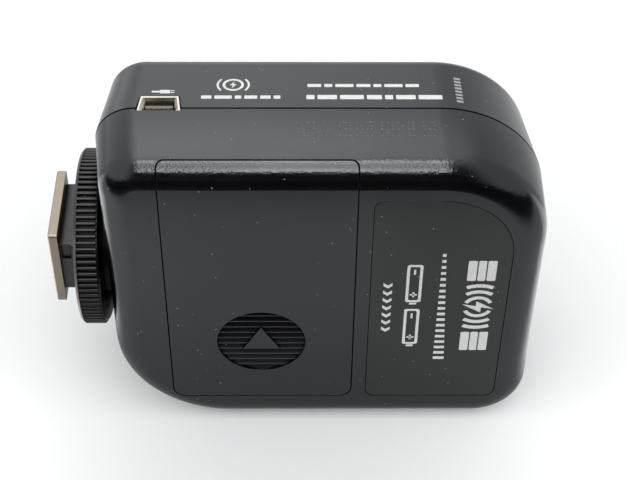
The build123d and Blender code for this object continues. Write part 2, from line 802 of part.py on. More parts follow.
with BuildPart() as power_knob:
    block((-35.2, -32.4), (switch_y - 1.45, switch_y + 1.45), (knob_z - 2.4, knob_z + 2.4))
    for step in (-1.4, 0.0, 1.4):
        middle = knob_z + step
        block((-36, -34.9), (-8, -3), (middle - 0.25, middle + 0.25), Mode.SUBTRACT)
    block((-32.75, -32.3), (switch_y - 1.9, switch_y + 1.9), (knob_z - 3.4, knob_z + 3.4))
    block((-32.4, -30.0), (switch_y - 0.85, switch_y + 0.85), (knob_z - 1.2, knob_z + 1.2))

# ---------------------------------------------------------------- service port



def port_section(outline, shrink):
    """Port outline in a YZ sketch, moved inwards by shrink."""
    low, high, low_half, high_half = outline
    Polygon(
        (low + shrink, port_z - low_half + shrink),
        (low + shrink, port_z + low_half - shrink),
        (high - shrink, port_z + high_half - shrink),
        (high - shrink, port_z - high_half + shrink),
        align=None,
    )


def port_tube(shrink, mode=Mode.ADD):
    """Straight tube with a flared mouth, as a solid."""
    flare_x = port_x[1] - port_flare
    with BuildSketch(Plane.YZ.offset(port_x[0])) as back:
        port_section(port_throat, shrink)
    extrude(back.sketch, amount=flare_x - port_x[0], mode=mode)
    with BuildSketch(Plane.YZ.offset(flare_x)) as throat:
        port_section(port_throat, shrink)
    with BuildSketch(Plane.YZ.offset(port_x[1])) as mouth:
        port_section(port_mouth, shrink)
    loft([throat.sketch, mouth.sketch], ruled=True, mode=mode)


with BuildPart() as usb_shell:
    port_tube(0)
    port_tube(port_wall, Mode.SUBTRACT)
    # The lip between the two ears stands back, under the front cover.
    ear_z = port_mouth[3] - 0.75
    block((port_lip_x, 37), (port_mouth[1] - 0.5, 4), (port_z - ear_z, port_z + ear_z), Mode.SUBTRACT)

tongue_y = (1.2, 1.85)
tongue_x = (port_x[0], port_x[1] - 0.45)

with BuildPart() as usb_tongue:
    block(tongue_x, tongue_y, (port_z - 2.5, port_z + 2.5))
    inner = (port_throat[0] + port_wall, port_throat[1] - port_wall)
    block((tongue_x[0], tongue_x[0] + 1.0), inner, (port_z - 2.6, port_z + 2.6))

with BuildPart() as usb_contacts:
    for lane in range(5):
        lane_z = port_z + (lane - 2) * 0.9
        lane_y = (tongue_y[1], tongue_y[1] + 0.12)
        block((tongue_x[0] + 1.0, tongue_x[1] - 0.1), lane_y, (lane_z - 0.22, lane_z + 0.22))

# ---------------------------------------------------------------- screws


def pan_screw(x, z, seat_y, shank, head_radius, head_high, shank_radius):
    """Pan-head screw along Y whose head stands on seat_y, towards +Y."""
    rod(x, z, (seat_y, seat_y + head_high), head_radius)
    rod(x, z, (seat_y - shank, seat_y), shank_radius)
    top = (seat_y + head_high - 0.6, seat_y + head_high + 1)
    reach = head_radius * 0.6
    block((x - reach, x + reach), top, (z - 0.2, z + 0.2), Mode.SUBTRACT)
    block((x - 0.2, x + 0.2), top, (z - reach, z + reach), Mode.SUBTRACT)


with BuildPart() as case_screws:
    for places, seat_y in ((upper_pillars, upper_seat_y), (lower_pillars, bay_floor_y)):
        for x, z in places:
            pan_screw(x, z, seat_y, case_screw_long, case_head_radius, 1.4, case_screw_radius)

with BuildPart() as board_screws:
    for places, seat_y in ((main_posts, main_board_y[1]), (display_posts, display_board_y[1])):
        for x, z in places:
            pan_screw(x, z, seat_y, 4.5, 1.6, 1.0, 0.8)

# ---------------------------------------------------------------- files

finish(front_cover, "front_cover")
finish(rear_cover, "rear_cover")
finish(battery_door, "battery_door")
finish(label_plate, "label_plate")
finish(foot_plate, "foot_plate")
finish(foot_block, "foot_block")
finish(foot_screws, "foot_screws")
finish(clamp_washer, "clamp_washer")
finish(lock_ring, "lock_ring")
finish(contact_board, "contact_board")
finish(foot_cable, "foot_cable")
finish(centre_pin, "centre_pin")
finish(centre_spring, "centre_spring")
for name in data_pins:
    finish(data_pin_parts[name], f"data_pin_{name}")
    finish(data_spring_parts[name], f"spring_{name}")
finish(cell_lower, "cell_lower")
finish(cell_upper, "cell_upper")
finish(positive_contact, "positive_contact")
finish(negative_contact, "negative_contact")
finish(bridge_contact, "bridge_contact")
finish(main_board, "main_board")
finish(display_board, "display_board")
finish(board_connector, "board_connector")
finish(rf_shield, "rf_shield")
finish(rf_chip, "rf_chip")
finish(mcu_chip, "mcu_chip")
finish(antenna, "antenna")
finish(lcd_frame, "lcd_frame")
finish(lcd_glass, "lcd_glass")
finish(light_guide, "light_guide")
finish(display_gasket, "display_gasket")
finish(display_window, "display_window")
for name in key_places:
    finish(key_parts[name], f"key_{name}")
    finish(plunger_parts[name], f"plunger_{name}")
finish(tact_bodies, "tact_bodies")
finish(status_light_pipe, "status_light_pipe")
finish(status_led, "status_led")
finish(power_switch_body, "power_switch_body")
finish(power_knob, "power_knob")
finish(usb_shell, "usb_shell")
finish(usb_tongue, "usb_tongue")
finish(usb_contacts, "usb_contacts")
finish(case_screws, "case_screws")
finish(board_screws, "board_screws")
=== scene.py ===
"""Looks of the wireless flash trigger: materials, printed marks, studio and camera on the CAD frame."""

import json
import math

import bpy
from mathutils import Euler, Matrix, Vector
from mathutils.bvhtree import BVHTree
from mathutils.geometry import tessellate_polygon


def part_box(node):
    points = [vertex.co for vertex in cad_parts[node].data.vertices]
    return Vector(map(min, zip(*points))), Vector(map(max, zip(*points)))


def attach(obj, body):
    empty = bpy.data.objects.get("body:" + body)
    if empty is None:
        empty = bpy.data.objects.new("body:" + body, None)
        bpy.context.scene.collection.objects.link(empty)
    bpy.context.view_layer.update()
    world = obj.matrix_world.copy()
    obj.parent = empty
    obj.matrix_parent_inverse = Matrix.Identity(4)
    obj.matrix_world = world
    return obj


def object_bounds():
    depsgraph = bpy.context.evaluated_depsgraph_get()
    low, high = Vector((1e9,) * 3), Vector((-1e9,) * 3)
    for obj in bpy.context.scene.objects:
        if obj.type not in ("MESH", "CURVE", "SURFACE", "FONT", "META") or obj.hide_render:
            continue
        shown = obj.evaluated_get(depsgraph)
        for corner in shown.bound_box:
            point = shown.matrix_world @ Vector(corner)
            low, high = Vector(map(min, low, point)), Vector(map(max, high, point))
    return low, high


MM = 0.001

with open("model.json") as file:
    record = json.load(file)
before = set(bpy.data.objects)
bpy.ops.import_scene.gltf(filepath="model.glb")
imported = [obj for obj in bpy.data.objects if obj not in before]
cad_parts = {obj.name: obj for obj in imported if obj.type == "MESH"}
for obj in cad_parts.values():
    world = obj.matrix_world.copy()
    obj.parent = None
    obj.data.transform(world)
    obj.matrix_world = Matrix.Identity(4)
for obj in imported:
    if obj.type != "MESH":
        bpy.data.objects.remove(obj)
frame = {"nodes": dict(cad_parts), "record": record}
cad_low, cad_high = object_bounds()
nodes = frame["nodes"]
X, Y, Z = Vector((1, 0, 0)), Vector((0, 1, 0)), Vector((0, 0, 1))


# ---------------------------------------------------------------- shader helpers


class Shader:
    """Adds and joins the nodes of one shader tree."""

    def __init__(self, tree):
        self.tree = tree
        tree.nodes.clear()

    def add(self, kind, settings=None, **inputs):
        """New node. Input names use _ for a space; a value is a number, a tuple or a socket."""
        made = self.tree.nodes.new("ShaderNode" + kind)
        for key, value in (settings or {}).items():
            setattr(made, key, value)
        for key, value in inputs.items():
            self.feed(made.inputs[key.replace("_", " ")], value)
        return made

    def feed(self, socket, value):
        if isinstance(value, bpy.types.NodeSocket):
            self.tree.links.new(value, socket)
        elif isinstance(value, tuple) and socket.type == "RGBA" and len(value) == 3:
            socket.default_value = value + (1.0,)
        else:
            socket.default_value = value

    def math(self, operation, *values):
        made = self.add("Math", {"operation": operation})
        for socket, value in zip(made.inputs, values):
            self.feed(socket, value)
        return made.outputs[0]

    def times(self, a, b):
        return self.math("MULTIPLY", a, b)

    def vector(self, operation, *values):
        made = self.add("VectorMath", {"operation": operation})
        for socket, value in zip(made.inputs, values):
            self.feed(socket, value)
        return made.outputs["Value" if operation in ("DOT_PRODUCT", "LENGTH") else "Vector"]

    def step(self, value, low, high, start=0.0, end=1.0):
        """Smooth step of value from start at low to end at high."""
        made = self.add("MapRange", {"interpolation_type": "SMOOTHSTEP"}, Value=value)
        made.inputs["From Min"].default_value = low
        made.inputs["From Max"].default_value = high
        self.feed(made.inputs["To Min"], start)
        self.feed(made.inputs["To Max"], end)
        return made.outputs["Result"]

    def mix(self, factor, a, b):
        """Colour a at factor 0, colour b at factor 1."""
        made = self.add("Mix", {"data_type": "RGBA"})
        self.feed(made.inputs[0], factor)
        self.feed(made.inputs[6], a)
        self.feed(made.inputs[7], b)
        return made.outputs[2]

    def blend(self, factor, a, b):
        """Number a at factor 0, number b at factor 1."""
        return self.add("Mix", {"data_type": "FLOAT"}, Factor=factor, A=a, B=b).outputs[0]

    def noise(self, at, size, detail=2.0, rough=0.5):
        """Noise with features of about size mm."""
        made = self.add("TexNoise", Vector=at, Scale=1 / (size * MM), Detail=detail)
        made.inputs["Roughness"].default_value = rough
        return made.outputs[0]

    def cells(self, at, size):
        """Distance to the middle of Voronoi cells of about size mm."""
        return self.add("TexVoronoi", Vector=at, Scale=1 / (size * MM)).outputs["Distance"]

    def split(self, vector):
        made = self.add("SeparateXYZ", Vector=vector)
        return made.outputs[0], made.outputs[1], made.outputs[2]

    def place(self):
        """Position in the rest frame, in metres."""
        return self.add("TexCoord").outputs["Object"]

    def facing(self):
        """Direction of the face itself, before any bump."""
        return self.add("NewGeometry").outputs["Normal"]


def new_material(name):
    made = bpy.data.materials.new(name)
    made.use_nodes = True
    return made, Shader(made.node_tree)


def scaled(colour, gain):
    return tuple(min(1.0, c * gain) for c in colour)


# ---------------------------------------------------------------- parts of the plastic's look

DUST_COLOUR, DUST_COVER = (0.45, 0.45, 0.44), 0.8
SPECK_PITCH, LINT_PITCH = 2.4, 4.1
LINT_STRETCH, LINT_SIZE = (1.0, 0.22, 1.0), 0.02


def add_dust(s, at, amount, fill, roughness):
    """Round specks, and lint drawn out along Y; both are pale and matt."""
    speck_size = 0.03 + 0.02 * amount
    speck = s.step(s.cells(at, SPECK_PITCH), speck_size, 0.5 * speck_size)
    lint = s.cells(s.vector("MULTIPLY", at, LINT_STRETCH), LINT_PITCH)
    lint = s.step(lint, LINT_SIZE, 0.6 * LINT_SIZE)
    shown = s.times(s.math("MAXIMUM", speck, lint), DUST_COVER)
    return s.mix(shown, fill, DUST_COLOUR), s.math("MAXIMUM", roughness, shown)


HAIR_STRETCH, HAIR_BEND, HAIR_LEVEL = (1.0, 0.6, 0.8), 9.0, 0.52
HAIR_EDGE, HAIR_CORE = 0.0022, 0.0008
HAIR_PATCH, PATCH_START, PATCH_FULL = 5.0, 0.58, 0.64
HAIR_COVER, HAIR_GAIN = 0.5, 4.5


def add_hairs(s, at, amount, fill, colour):
    """Hair scratches: thin level lines of a slow noise, kept only in patches."""
    drawn = s.noise(s.vector("MULTIPLY", at, HAIR_STRETCH), HAIR_BEND, 1.0)
    off_line = s.math("ABSOLUTE", s.math("SUBTRACT", drawn, HAIR_LEVEL))
    line = s.step(off_line, HAIR_EDGE, HAIR_CORE)
    patch = s.step(s.noise(at, HAIR_PATCH, 2.0), PATCH_START, PATCH_FULL)
    shown = s.times(s.times(line, patch), HAIR_COVER * amount)
    return s.mix(shown, fill, scaled(colour, HAIR_GAIN))


# The peel starts where the product of the normal's x and y shows a turned face, near the +X side.
TURN_START, TURN_FULL = 0.12, 0.34
peel_start, peel_full = cad_high.x - 10 * MM, cad_high.x - 8 * MM


def add_peel(s, at, size, tall, height):
    """Rougher skin on the edge that is rounded between the +X and +Y faces."""
    face_x, face_y, _ = s.split(s.facing())
    turned = s.step(s.times(face_x, face_y), TURN_START, TURN_FULL)
    near_edge = s.step(s.split(at)[0], peel_start, peel_full)
    skin = s.times(s.noise(at, size, 0.0), tall * MM)
    return s.math("ADD", height, s.times(skin, s.times(turned, near_edge)))


def crown_bump(s, at, start, end, slope):
    """Bump whose slope begins at a fifth of slope at start and falls by slope until end, along Y."""
    into = s.math("MAXIMUM", s.math("SUBTRACT", s.split(at)[1], start), 0.0)
    drop = s.times(s.times(into, into), -0.5 * slope / (end - start))
    drop = s.math("ADD", drop, s.times(into, 0.2 * slope))
    return s.add("Bump", Height=drop, Strength=1.0, Distance=1.0)


def add_wear(s, at, rounded, fill, colour):
    """Patchy rubbed colour where the softened direction leaves the face's own."""
    agree = s.vector("DOT_PRODUCT", rounded, s.facing())
    edge = s.step(agree, 0.985, 0.9)
    patchy = s.times(edge, s.step(s.noise(at, 1.1, 3.0), 0.35, 0.6))
    return s.mix(patchy, fill, colour)


# Painted shade: reflections are dimmed in narrow gaps and in the thumb pad's hollow.
# How open a place is where reflections begin and where they are full, and what a gap keeps.
GAP_OPEN, FULLY_OPEN, GAP_SHARE = 0.6, 0.98, 0.08
# The x of the normal where the underside starts and is full.
UNDER_START, UNDER_FULL = -0.6, -0.9
# What the hollow keeps, and the depths where that fades out, so the operator side isn't changed.
HOLLOW_SHARE, HOLLOW_BLUR = 0.3, 0.1 * MM
HOLLOW_FADE, HOLLOW_END = 1.1 * MM, 1.4 * MM


def reflection_level_with_painted_shade(s, at, gloss, reach, hollow):
    """Reflection strength: dimmed as painted shade in narrow gaps and the hollow, full on the
    underside.

    The underside lies on the floor, which would otherwise count as a gap.
    """
    open_share = s.add("AmbientOcclusion", {"samples": 6}, Distance=reach * MM).outputs["AO"]
    underside = s.step(s.split(s.facing())[0], UNDER_START, UNDER_FULL)
    open_share = s.math("MAXIMUM", open_share, underside)
    level = s.step(open_share, GAP_OPEN, FULLY_OPEN, GAP_SHARE * gloss, gloss)
    if hollow:
        centre, radius, crest = hollow
        off = s.vector("MULTIPLY", s.vector("SUBTRACT", at, tuple(centre)), (1.0, 0.0, 1.0))
        within = s.step(s.vector("LENGTH", off), radius + HOLLOW_BLUR, radius - HOLLOW_BLUR)
        y = s.split(at)[1]
        within = s.times(within, s.step(y, centre.y - HOLLOW_END, centre.y - HOLLOW_FADE))
        deep = s.step(y, centre.y - crest, centre.y - crest - HOLLOW_BLUR)
        level = s.times(level, s.step(s.times(within, deep), 0.0, 1.0, 1.0, HOLLOW_SHARE))
    return level


BRUSH_STRETCH = 0.04


def surface(
    name,
    colour,
    rough,
    metal=0.0,
    mottle=(6.0, 0.12),
    grain=(0.25, 0.004),
    brushed=None,
    dust=0.0,
    hairs=0.0,
    wear=None,
    smudge=0.05,
    soften=0.0,
    coat=0.0,
    tint=(1.0, 1.0, 1.0),
    crown=None,
    gloss=0.5,
    crevice=None,
    peel=None,
    hollow=None,
):
    """Material whose colour, roughness and height vary as the real surface does.

    mottle: size in mm and share of the slow colour change. grain: size and height in mm.
    brushed: axis along which the grain is drawn out. dust, hairs: how many specks and scratches.
    wear: colour that shows through where edges are rubbed. smudge: roughness change.
    soften: radius in mm of the light-catching edges. tint: colour of the reflections.
    crown: where the faces begin and end to swell, in metres along Y, and how steeply.
    gloss: strength of the reflections. crevice: reach in mm of the painted shade in narrow gaps.
    peel: size and height in mm of the rougher skin on the edge rounded between +X and +Y.
    hollow: middle of a round hollow in a +Y face, its radius and the depth of its crests, in
    metres; it reflects less, as painted shade, and it needs crevice.
    """
    made, s = new_material(name)
    at = s.place()
    slow = s.noise(at, mottle[0], 3.0)
    fill = s.mix(slow, scaled(colour, 1 - mottle[1]), scaled(colour, 1 + mottle[1]))

    fine_at = at
    if brushed:
        stretch = tuple(BRUSH_STRETCH if axis == brushed else 1.0 for axis in "XYZ")
        fine_at = s.vector("MULTIPLY", at, stretch)
    fine = s.noise(fine_at, grain[0], 2.0, 0.6)
    roughness = s.math("ADD", rough, s.times(s.math("SUBTRACT", slow, 0.5), 2 * smudge))
    roughness = s.math("ADD", roughness, s.times(s.math("SUBTRACT", fine, 0.5), 0.12))
    if dust:
        fill, roughness = add_dust(s, at, dust, fill, roughness)
    if hairs:
        fill = add_hairs(s, at, hairs, fill, colour)

    height = s.times(fine, grain[1] * MM)
    if peel:
        height = add_peel(s, at, *peel, height)
    bump = s.add("Bump", Height=height, Strength=1.0, Distance=1.0)
    innermost = bump
    if crown:
        innermost = crown_bump(s, at, *crown)
        s.feed(bump.inputs["Normal"], innermost.outputs[0])
    if soften:
        rounded = s.add("Bevel", {"samples": 4}, Radius=soften * MM).outputs[0]
        s.feed(innermost.inputs["Normal"], rounded)
        if wear:
            fill = add_wear(s, at, rounded, fill, wear)

    shader = s.add("BsdfPrincipled", Base_Color=fill, Metallic=metal, Normal=bump.outputs[0])
    s.feed(shader.inputs["Roughness"], roughness)
    s.feed(shader.inputs["Coat Weight"], coat)
    s.feed(shader.inputs["Specular Tint"], tint)
    # Narrow gaps and the hollow get painted shade: their reflections are dimmed there.
    level = reflection_level_with_painted_shade(s, at, gloss, crevice, hollow) if crevice else gloss
    s.feed(shader.inputs["Specular IOR Level"], level)
    s.add("OutputMaterial", Surface=shader.outputs[0])
    return made


# ---------------------------------------------------------------- materials of the CAD nodes

CASE_BLACK = (0.0014, 0.0015, 0.0018)
rear_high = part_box("rear_cover")[1]
crown_span = (rear_high.y, rear_high.y + 11 * MM, 0.15)
# The thumb pad's hollow, whose reflections are dimmed as painted shade.
pad_middle = Vector((-10.9 * MM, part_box("battery_door")[1].y, 40.9 * MM))
pad_radius, pad_crest = 8.7 * MM, 0.26 * MM

looks = {
    "case_plastic": surface(
        "case_plastic", CASE_BLACK, 0.17, mottle=(9.0, 0.15), grain=(0.27, 0.008), dust=1.0,
        hairs=1.0, smudge=0.06, soften=0.12, tint=(0.925, 0.95, 1.0), crown=crown_span, gloss=0.58,
        crevice=2.5, peel=(0.36, 0.022), hollow=(pad_middle, pad_radius, pad_crest),
    ),
    "label_film": surface(
        "label_film", (0.0014, 0.0018, 0.0018), 0.22, mottle=(12.0, 0.1), grain=(0.16, 0.002),
        dust=0.8, hairs=1.0, smudge=0.04, soften=0.08, tint=(0.95, 1.0, 1.0), gloss=0.56,
    ),
    "ring_plastic": surface(
        "ring_plastic", (0.0018, 0.0018, 0.0019), 0.24, mottle=(3.0, 0.25), grain=(0.2, 0.005),
        dust=0.7, soften=0.09, wear=(0.02, 0.02, 0.0195), gloss=0.42, crevice=2.5,
    ),
    "foot_plastic": surface(
        "foot_plastic", (0.003, 0.003, 0.0033), 0.33, grain=(0.15, 0.004), dust=0.6, soften=0.1,
        wear=(0.02, 0.02, 0.02), gloss=0.5, crevice=1.2,
    ),
    "foot_metal": surface(
        "foot_metal", (0.25, 0.215, 0.17), 0.34, metal=1.0, mottle=(3.0, 0.1), grain=(0.2, 0.0025),
        brushed="X", soften=0.12, wear=(0.6, 0.52, 0.43),
    ),
    "port_metal": surface(
        "port_metal", (0.6, 0.57, 0.5), 0.3, metal=1.0, mottle=(1.2, 0.18), grain=(0.12, 0.002),
        soften=0.05, smudge=0.1,
    ),
    # The port's warm light brown is partly the tongue's own colour, partly a painted reflection of the
    # contacts.
    "port_plastic": surface("port_plastic", (0.16, 0.14, 0.115), 0.45, grain=(0.1, 0.002)),
    "contact_gold": surface(
        "contact_gold", (0.83, 0.64, 0.32), 0.22, metal=1.0, mottle=(0.8, 0.12), grain=(0.1, 0.001),
    ),
    "spring_steel": surface(
        "spring_steel", (0.6, 0.6, 0.62), 0.25, metal=1.0, mottle=(1.0, 0.1), grain=(0.1, 0.001),
        brushed="Z",
    ),
    "screw_steel": surface(
        "screw_steel", (0.32, 0.31, 0.3), 0.35, metal=1.0, grain=(0.15, 0.002), soften=0.06,
        wear=(0.6, 0.59, 0.57),
    ),
    "board_green": surface(
        "board_green", (0.02, 0.13, 0.055), 0.35, mottle=(1.5, 0.3), grain=(0.5, 0.004), coat=0.4,
    ),
    "chip_black": surface("chip_black", (0.02, 0.02, 0.021), 0.55, grain=(0.08, 0.002)),
    "shield_tin": surface(
        "shield_tin", (0.66, 0.66, 0.67), 0.32, metal=1.0, grain=(0.3, 0.002), brushed="X",
        soften=0.08,
    ),
    "lcd_grey": surface(
        "lcd_grey", (0.21, 0.24, 0.2), 0.25, mottle=(20.0, 0.05), grain=(0.08, 0.0005), coat=0.3,
    ),
    "guide_white": surface("guide_white", (0.75, 0.75, 0.72), 0.4, grain=(0.2, 0.001)),
    "frame_white": surface("frame_white", (0.7, 0.7, 0.68), 0.45, grain=(0.2, 0.002)),
    "foam_black": surface(
        "foam_black", (0.015, 0.015, 0.015), 0.9, mottle=(0.6, 0.3), grain=(0.3, 0.03),
    ),
    "key_grey": surface(
        "key_grey", (0.05, 0.051, 0.054), 0.5, grain=(0.14, 0.005), dust=0.6, soften=0.15,
        wear=(0.09, 0.09, 0.09),
    ),
    "switch_black": surface(
        "switch_black", (0.02, 0.02, 0.02), 0.45, grain=(0.15, 0.002), soften=0.06,
    ),
    "cable_white": surface(
        "cable_white", (0.7, 0.69, 0.64), 0.4, grain=(0.2, 0.002), brushed="Z",
    ),
    "led_yellow": surface("led_yellow", (0.75, 0.6, 0.15), 0.25, grain=(0.2, 0.001), coat=0.5),
}


def clear_window(name):
    """Polished clear plastic with faint wiping marks."""
    made, s = new_material(name)
    marks = s.noise(s.vector("MULTIPLY", s.place(), (1.0, 1.0, 0.2)), 1.5, 4.0)
    shader = s.add("BsdfPrincipled", Base_Color=(0.93, 0.95, 0.94), IOR=1.49)
    s.feed(shader.inputs["Transmission Weight"], 1.0)
    s.feed(shader.inputs["Roughness"], s.step(marks, 0.4, 0.8, 0.002, 0.018))
    s.add("OutputMaterial", Surface=shader.outputs[0])
    return made


looks["window_clear"] = clear_window("window_clear")

# The AA cells' wrapping: colours, and where each zone starts as a share of the cell's length.
WRAP_GREEN, WRAP_COPPER = (0.014, 0.05, 0.035), (0.62, 0.33, 0.07)
WRAP_BAND, WRAP_SOIL = (0.7, 0.7, 0.68), (0.02, 0.02, 0.02)
BAND_START, COPPER_START, CAP_START = 0.715, 0.742, 0.978
WRAP_BLUR, CAP_BLUR = 0.003, 0.004


def cell_skin(node, plus_high):
    """Wrapped AA cell: green, a pale band, copper, bare metal on both ends.

    plus_high: whether the raised end is on the +X side.
    """
    made, s = new_material(node + "_skin")
    low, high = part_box(node)
    at = s.place()
    along = s.split(at)[0]
    end_on = s.split(s.facing())[0]
    ahead = s.math("SUBTRACT", along, low.x) if plus_high else s.math("SUBTRACT", high.x, along)
    share = s.math("DIVIDE", ahead, high.x - low.x)
    grain = s.noise(at, 0.4, 3.0)
    in_copper = s.step(share, COPPER_START, COPPER_START + WRAP_BLUR)
    past_band = s.step(share, BAND_START, BAND_START + WRAP_BLUR)
    jacket = s.mix(in_copper, WRAP_GREEN, WRAP_COPPER)
    jacket = s.mix(past_band, jacket, s.mix(in_copper, WRAP_BAND, jacket))
    jacket = s.mix(s.times(grain, 0.25), jacket, WRAP_SOIL)
    cap = s.step(share, CAP_START, CAP_START + CAP_BLUR)
    bare = s.math("MAXIMUM", s.step(s.math("ABSOLUTE", end_on), 0.5, 0.7), cap)
    fill = s.mix(bare, jacket, (0.62, 0.61, 0.6))
    bump = s.add("Bump", Height=grain, Distance=0.002 * MM)
    shader = s.add("BsdfPrincipled", Base_Color=fill, Metallic=bare, Normal=bump.outputs[0])
    s.feed(shader.inputs["Roughness"], s.math("ADD", 0.2, s.times(grain, 0.15)))
    s.add("OutputMaterial", Surface=shader.outputs[0])
    return made


CELL_PLUS_HIGH = {"cell_lower": True, "cell_upper": False}

for part in frame["record"]["subparts"]:
    node = part["node"]
    in_wrap = node in CELL_PLUS_HIGH
    skin = cell_skin(node, CELL_PLUS_HIGH[node]) if in_wrap else looks[part["material_slot"]]
    nodes[node].data.materials.clear()
    nodes[node].data.materials.append(skin)


# ---------------------------------------------------------------- outlines of marks, in mm


def rounded_bar(a0, a1, b0, b1, radius=None, turns=6):
    """Rectangle with round corners; without a radius its ends are half circles."""
    radius = min(a1 - a0, b1 - b0) / 2 - 1e-4 if radius is None else radius
    loop = []
    corners = ((a1, b1, 0), (a0, b1, 90), (a0, b0, 180), (a1, b0, 270))
    for a, b, start in corners:
        ca = a - radius if a == a1 else a + radius
        cb = b - radius if b == b1 else b + radius
        for i in range(turns + 1):
            angle = math.radians(start + 90 * i / turns)
            loop.append((ca + radius * math.cos(angle), cb + radius * math.sin(angle)))
    return loop


def circle(a, b, radius, turns=28):
    angles = [2 * math.pi * i / turns for i in range(turns)]
    return [(a + radius * math.cos(t), b + radius * math.sin(t)) for t in angles]


def ring(a, b, outer, inner):
    """Circle with a round hole."""
    return [circle(a, b, outer), circle(a, b, inner)]


def arc_band(a, b, radius, width, start, end, turns=14):
    """Part of a ring, from one angle to another in degrees."""
    loop = []
    for r, sweep in ((radius + width / 2, (start, end)), (radius - width / 2, (end, start))):
        for i in range(turns + 1):
            angle = math.radians(sweep[0] + (sweep[1] - sweep[0]) * i / turns)
            loop.append((a + r * math.cos(angle), b + r * math.sin(angle)))
    return loop


def bolt(a, b, tall):
    """Lightning bolt of the given height around a point."""
    shape = ((0.10, 0.50), (-0.26, -0.06), (-0.03, -0.06), (-0.12, -0.50), (0.26, 0.10), (0.02, 0.10))
    return [(a + x * tall, b + y * tall) for x, y in shape]


def chevron(left, low, thick, reach, half):
    """Arrowhead that points to the reader's right, of twice half in height."""
    middle, top = low + half, low + 2 * half
    outer = [(left + thick, low), (left + thick + reach, middle), (left + thick, top)]
    return [(left, low)] + outer + [(left, top), (left + reach, middle)]


def emblem(a, b, half_tall, reach):
    """Bolt between radio arcs and two blocks of three bold bars that end at reach from a."""
    shapes = [bolt(a, b, 2.3 * half_tall)]
    for radius, width in ((2.6, 0.8), (4.3, 0.85), (6.0, 0.9)):
        spread = math.degrees(math.asin(min(0.95, half_tall / (radius + width / 2))))
        shapes.append(arc_band(a, b, radius, width, -spread, spread))
        shapes.append(arc_band(a, b, radius, width, 180 - spread, 180 + spread))
    for side in (-1, 1):
        near, far = sorted((a + side * 7.4, a + side * reach))
        shapes.append(rounded_bar(near, far, b + 1.0, b + half_tall, 0.3))
        shapes.append(rounded_bar(near, far, b - 0.75, b + 0.75, 0.3))
        shapes.append(rounded_bar(near, far, b - half_tall, b - 1.0, 0.3))
    return shapes


def cell_outline(left, low):
    """Battery cell seen from the side, with a minus at its left and a plus at its right."""
    body = rounded_bar(left, left + 10.4, low, low + 3.0, 0.5)
    hole = rounded_bar(left + 0.55, left + 9.85, low + 0.55, low + 2.45, 0.3)
    return [
        [body, hole],
        rounded_bar(left + 10.55, left + 11.1, low + 0.8, low + 2.2, 0.15),
        rounded_bar(left + 1.3, left + 2.7, low + 1.3, low + 1.7, 0.1),
        rounded_bar(left + 7.6, left + 9.0, low + 1.3, low + 1.7, 0.1),
        rounded_bar(left + 8.1, left + 8.5, low + 0.8, low + 2.2, 0.1),
    ]


def dashes(a0, a1, b0, b1, lengths, gap=0.55):
    """Row of short bars from a0 to a1, whose lengths repeat; a last bar under 0.3 is left out."""
    made, start, i = [], a0, 0
    while start < a1:
        end = min(start + lengths[i % len(lengths)], a1)
        if end - start > 0.3:
            made.append(rounded_bar(start, end, b0, b1, 0.16))
        start, i = end + gap, i + 1
    return made


# ---------------------------------------------------------------- printed marks


def print_ink(name, colour, cover=1.0, rough=0.5):
    """Screen-printed ink, thin and slightly broken where it has worn."""
    made, s = new_material(name)
    at = s.place()
    worn = s.noise(at, 0.35, 3.0, 0.7)
    fill = s.mix(s.step(worn, 0.2, 0.75), scaled(colour, 0.72), colour)
    bump = s.add("Bump", Height=worn, Distance=0.003 * MM)
    shader = s.add("BsdfPrincipled", Base_Color=fill, Roughness=rough, Normal=bump.outputs[0])
    gap = s.step(s.noise(at, 0.22, 2.0), 0.5 - 0.28 * cover, 0.46 - 0.28 * cover)
    s.feed(shader.inputs["Alpha"], s.math("SUBTRACT", 1.0, s.times(gap, 0.85)))
    s.add("OutputMaterial", Surface=shader.outputs[0])
    return made


white_ink = print_ink("ink_white", (0.86, 0.86, 0.84))
label_ink = print_ink("ink_label", (0.6, 0.6, 0.59), cover=0.8)
worn_ink = print_ink("ink_worn", (0.4, 0.4, 0.4), cover=0.5)
faint_ink = print_ink("ink_faint", (0.1, 0.1, 0.103), cover=0.25)
key_ink = print_ink("ink_key", (0.6, 0.6, 0.58))
lcd_ink = print_ink("ink_lcd", (0.012, 0.014, 0.012), rough=0.3)

skins = {}


def skin_of(name):
    """Search tree over the surface of a CAD node."""
    if name not in skins:
        mesh = nodes[name].data
        verts = [v.co.copy() for v in mesh.vertices]
        skins[name] = BVHTree.FromPolygons(verts, [list(p.vertices) for p in mesh.polygons])
    return skins[name]


INK_RISE = 0.02 * MM
SEARCH_REACH = 6 * MM


def lay_shape(shape, skin, origin, across, up):
    """Corners and faces of one printed shape, a thin plate that follows the surface.

    A shape is an outline of points (a, b) in mm, or a list of an outline and its holes.
    """
    out = across.cross(up)
    loops = [shape] if isinstance(shape[0][0], (int, float)) else shape
    flat = [p for loop in loops for p in loop]
    top = []
    for a, b in flat:
        point = origin + across * (a * MM) + up * (b * MM)
        hit = skin.ray_cast(point + out * SEARCH_REACH, -out)[0]
        if hit is None:
            raise ValueError(f"a mark misses the surface at {a}, {b}")
        top.append(hit + out * INK_RISE)
    count = len(flat)
    faces = []
    for tri in tessellate_polygon([[Vector((a, b, 0)) for a, b in loop] for loop in loops]):
        (ax, ay), (bx, by), (cx, cy) = (flat[i] for i in tri)
        turn = (bx - ax) * (cy - ay) - (by - ay) * (cx - ax)
        tri = tri if turn > 0 else (tri[0], tri[2], tri[1])
        faces.append(list(tri))
        faces.append([count + i for i in reversed(tri)])
    base = 0
    for loop in loops:
        n = len(loop)
        for i in range(n):
            j = (i + 1) % n
            faces.append([base + j, base + i, base + count + i, base + count + j])
        base += n
    return top + [p - out * (2 * INK_RISE) for p in top], faces


